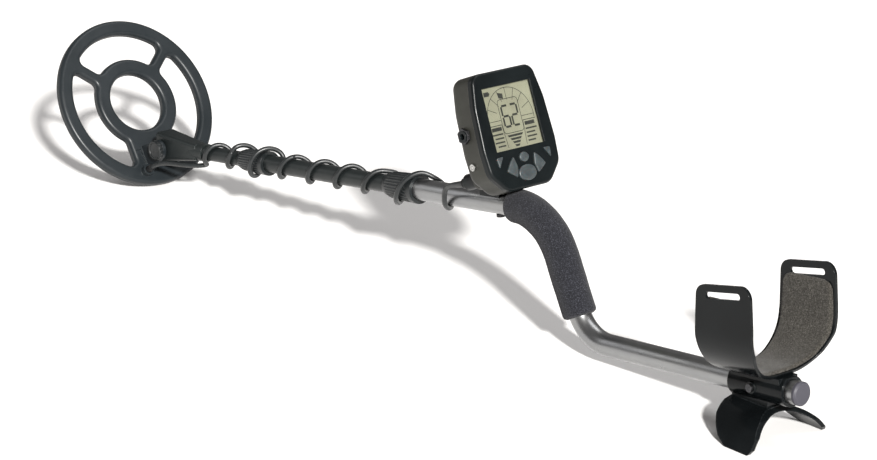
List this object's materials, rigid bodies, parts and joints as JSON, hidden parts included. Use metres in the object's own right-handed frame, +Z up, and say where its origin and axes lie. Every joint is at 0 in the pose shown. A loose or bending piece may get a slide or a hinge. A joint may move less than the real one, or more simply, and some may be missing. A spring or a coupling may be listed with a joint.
{
  "type": "metal detector",
  "caption": "Handheld metal detector: open-frame search coil on a telescopic stem, S-bent rod with foam grip, control housing with display, sliding arm rest with stand.",
  "frame": {"origin": "middle of the box's base, on the floor that the stand and the coil's rim rest on", "axes": "+X from the coil towards the arm rest, +Y lateral, +Z up"},
  "size_m": [1.1136, 0.2032, 0.2699],
  "materials": {
    "rod_metal": "satin anodised",
    "foam": "open-cell foam",
    "cap_plastic": "matt",
    "stem_plastic": "satin",
    "collar_plastic": "satin",
    "coil_plastic": "satin",
    "rubber_black": "matt",
    "copper": "enamelled wire",
    "case_plastic": "satin",
    "lens": "clear",
    "display": "liquid crystal panel",
    "board": "solder mask",
    "battery": "wrapped cell",
    "speaker": "paper cone",
    "keys": "silicone rubber",
    "dark_metal": "blackened",
    "bright_metal": "plated",
    "cup_plastic": "gloss",
    "pad_foam": "speckled foam-backed cloth",
    "cable": "PVC jacket"
  },
  "bodies": {
    "s_rod": {"s_rod_tube": "rod_metal", "foam_grip": "foam", "rear_end_cap": "cap_plastic", "upper_lock_sleeve": "collar_plastic", "rear_case": "case_plastic", "front_bezel": "case_plastic", "display_lens": "lens", "display_panel": "display", "main_board": "board", "battery": "battery", "speaker": "speaker", "key_membrane": "rubber_black", "headphone_jack": "case_plastic", "jack_nut": "dark_metal", "side_screw": "bright_metal", "coil_socket": "dark_metal", "coil_plug": "case_plastic", "housing_bracket": "case_plastic", "bracket_screw": "dark_metal", "coil_cable_upper": "cable"},
    "upper_collar": {"upper_collar": "collar_plastic"},
    "middle_stem": {"middle_stem": "stem_plastic", "lower_lock_sleeve": "collar_plastic", "coil_cable_middle": "cable"},
    "lower_collar": {"lower_collar": "collar_plastic"},
    "lower_stem": {"lower_stem": "stem_plastic", "stem_tongue": "stem_plastic", "hinge_washer_near": "rubber_black", "hinge_washer_far": "rubber_black", "coil_cable_lower": "cable"},
    "coil": {"coil_shell": "coil_plastic", "coil_cover": "coil_plastic", "transmit_winding": "copper", "receive_winding": "copper", "cable_gland": "rubber_black"},
    "hinge_screw": {"hinge_bolt": "collar_plastic", "hinge_knob_near": "collar_plastic"},
    "hinge_nut": {"hinge_knob_far": "collar_plastic"},
    "arm_rest": {"arm_cup": "cup_plastic", "arm_pad": "pad_foam", "stand_clamp": "cup_plastic", "arm_rest_screw": "dark_metal", "cup_screws": "bright_metal"},
    "battery_door": {"battery_door": "case_plastic"},
    "round_key": {"round_key": "keys"},
    "oval_key": {"oval_key": "keys"},
    "left_fan_key": {"left_fan_key": "keys"},
    "right_fan_key": {"right_fan_key": "keys"},
    "left_small_key": {"left_small_key": "keys"},
    "right_small_key": {"right_small_key": "keys"}
  },
  "joints": [
    {"name": "upper_collar_twist", "type": "hinge", "parent": "s_rod", "child": "upper_collar", "pos_m": [-0.01568, 0, 0.10843], "axis": [-0.9897, 0, -0.1435], "range_deg": [0, 120]},
    {"name": "middle_stem_slide", "type": "slide", "parent": "s_rod", "child": "middle_stem", "axis": [-0.9897, 0, -0.1435], "range_m": [-0.035, 0.055], "deforming": ["coil_cable_upper", "coil_cable_middle"]},
    {"name": "lower_collar_twist", "type": "hinge", "parent": "middle_stem", "child": "lower_collar", "pos_m": [-0.26804, 0, 0.07184], "axis": [-0.9897, 0, -0.1435], "range_deg": [0, 120]},
    {"name": "lower_stem_slide", "type": "slide", "parent": "middle_stem", "child": "lower_stem", "axis": [-0.9897, 0, -0.1435], "range_m": [-0.06, 0.08]},
    {"name": "coil_tilt", "type": "hinge", "parent": "lower_stem", "child": "coil", "pos_m": [-0.4281, 0, 0.04813], "axis": [0, 1, 0], "range_deg": [-60, 60], "deforming": ["coil_cable_lower"]},
    {"name": "hinge_screw_turn", "type": "hinge", "parent": "coil", "child": "hinge_screw", "pos_m": [-0.4281, 0, 0.04813], "axis": [0, 1, 0], "range_deg": [-180, 180]},
    {"name": "hinge_nut_turn", "type": "hinge", "parent": "coil", "child": "hinge_nut", "pos_m": [-0.4281, 0, 0.04813], "axis": [0, 1, 0], "range_deg": [-180, 180]},
    {"name": "arm_rest_slide", "type": "slide", "parent": "s_rod", "child": "arm_rest", "axis": [-0.9936, 0, -0.1132], "range_m": [0, 0.1]},
    {"name": "battery_door_slide", "type": "slide", "parent": "s_rod", "child": "battery_door", "axis": [-0.4083, 0, 0.9128], "range_m": [0, 0.06]},
    {"name": "round_key_press", "type": "slide", "parent": "s_rod", "child": "round_key", "axis": [-0.9128, 0, -0.4083], "range_m": [0, 0.0012], "stiffness_N_per_m": 500, "springref_m": -0.0006},
    {"name": "oval_key_press", "type": "slide", "parent": "s_rod", "child": "oval_key", "axis": [-0.9128, 0, -0.4083], "range_m": [0, 0.0012], "stiffness_N_per_m": 500, "springref_m": -0.0006},
    {"name": "left_fan_key_press", "type": "slide", "parent": "s_rod", "child": "left_fan_key", "axis": [-0.9128, 0, -0.4083], "range_m": [0, 0.0012], "stiffness_N_per_m": 500, "springref_m": -0.0006},
    {"name": "right_fan_key_press", "type": "slide", "parent": "s_rod", "child": "right_fan_key", "axis": [-0.9128, 0, -0.4083], "range_m": [0, 0.0012], "stiffness_N_per_m": 500, "springref_m": -0.0006},
    {"name": "left_small_key_press", "type": "slide", "parent": "s_rod", "child": "left_small_key", "axis": [-0.9128, 0, -0.4083], "range_m": [0, 0.0012], "stiffness_N_per_m": 500, "springref_m": -0.0006},
    {"name": "right_small_key_press", "type": "slide", "parent": "s_rod", "child": "right_small_key", "axis": [-0.9128, 0, -0.4083], "range_m": [0, 0.0012], "stiffness_N_per_m": 500, "springref_m": -0.0006}
  ]
}
